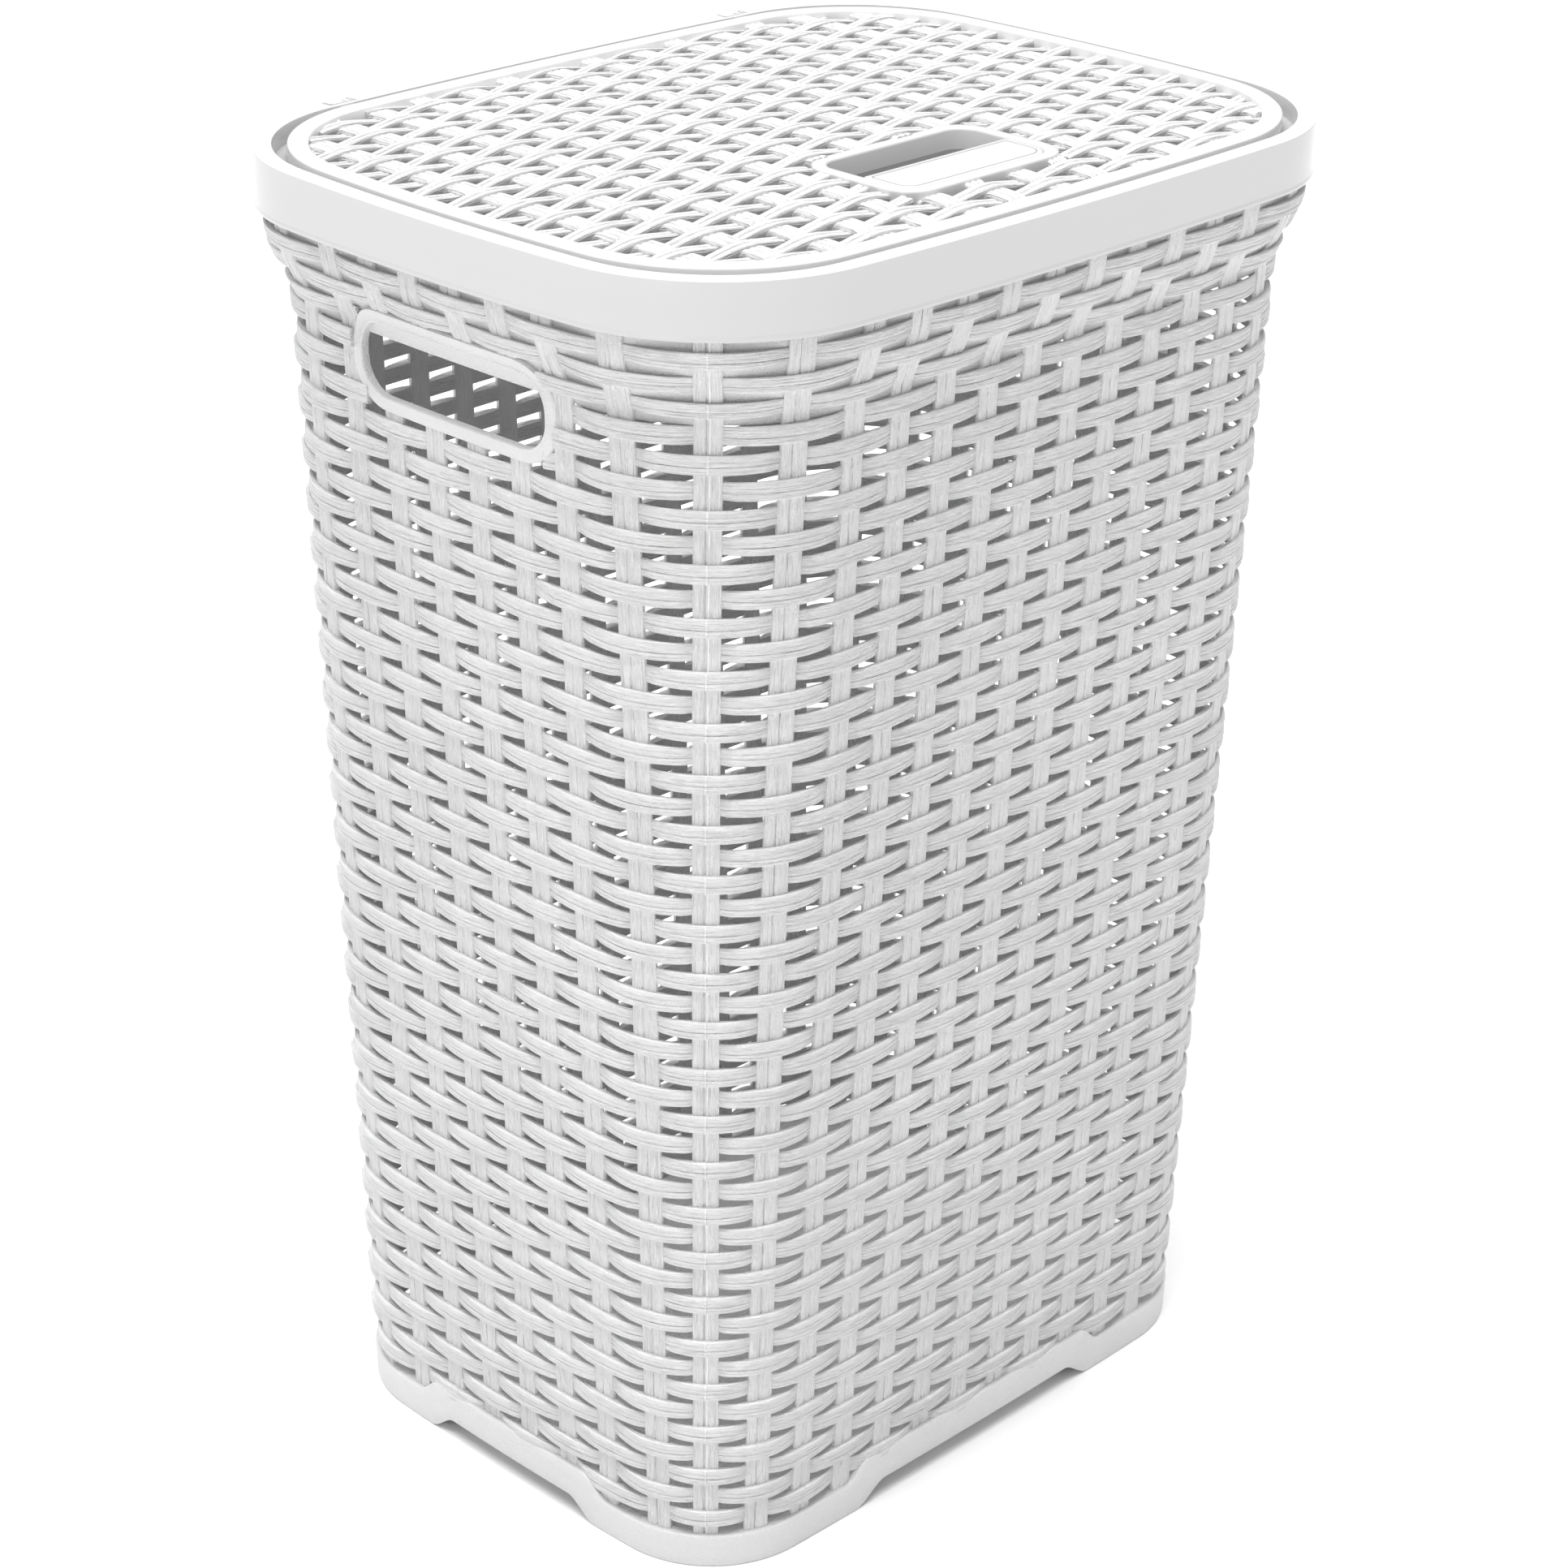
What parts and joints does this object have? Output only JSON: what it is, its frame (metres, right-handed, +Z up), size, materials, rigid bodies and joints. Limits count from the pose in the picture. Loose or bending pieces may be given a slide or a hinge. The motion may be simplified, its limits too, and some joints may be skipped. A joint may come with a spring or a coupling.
{
  "type": "laundry hamper with lid",
  "caption": "Tall drafted hamper with woven-look slotted walls, a smooth collar, hand holes in both short sides and a hinged woven-look lid with a grip pocket.",
  "frame": {"origin": "centre of the footprint, on the floor under the feet", "axes": "+Z up along the hamper's height; +X along the long side; -Y is the front, where the grip is; the hinge is at the +Y side"},
  "size_m": [0.4152, 0.3252, 0.6028],
  "materials": {
    "basket_white": "matte, fine grain along each strand",
    "collar_white": "smooth, satin gloss",
    "hinge_white": "smooth, matte"
  },
  "bodies": {
    "basket": {"base_band": "basket_white", "floor_panel": "basket_white", "front_wall": "basket_white", "back_wall": "basket_white", "left_wall": "basket_white", "right_wall": "basket_white", "corner_front_left": "basket_white", "corner_front_right": "basket_white", "corner_back_left": "basket_white", "corner_back_right": "basket_white", "neck": "basket_white", "hand_frame_left": "basket_white", "hand_frame_right": "basket_white", "collar": "collar_white", "lid_ledge": "collar_white", "hinge_cradle_left": "hinge_white", "hinge_cradle_right": "hinge_white", "hinge_pin_left": "hinge_white", "hinge_pin_right": "hinge_white"},
    "lid": {"lid_border": "collar_white", "lid_weave": "basket_white", "grip_frame": "collar_white", "grip_pocket": "collar_white", "grip_pad": "collar_white", "hinge_arm_left": "hinge_white", "hinge_arm_right": "hinge_white"}
  },
  "joints": [
    {"name": "lid_hinge", "type": "hinge", "parent": "basket", "child": "lid", "pos_m": [0, 0.1572, 0.5965], "axis": [-1, 0, 0], "range_deg": [0, 98]}
  ]
}
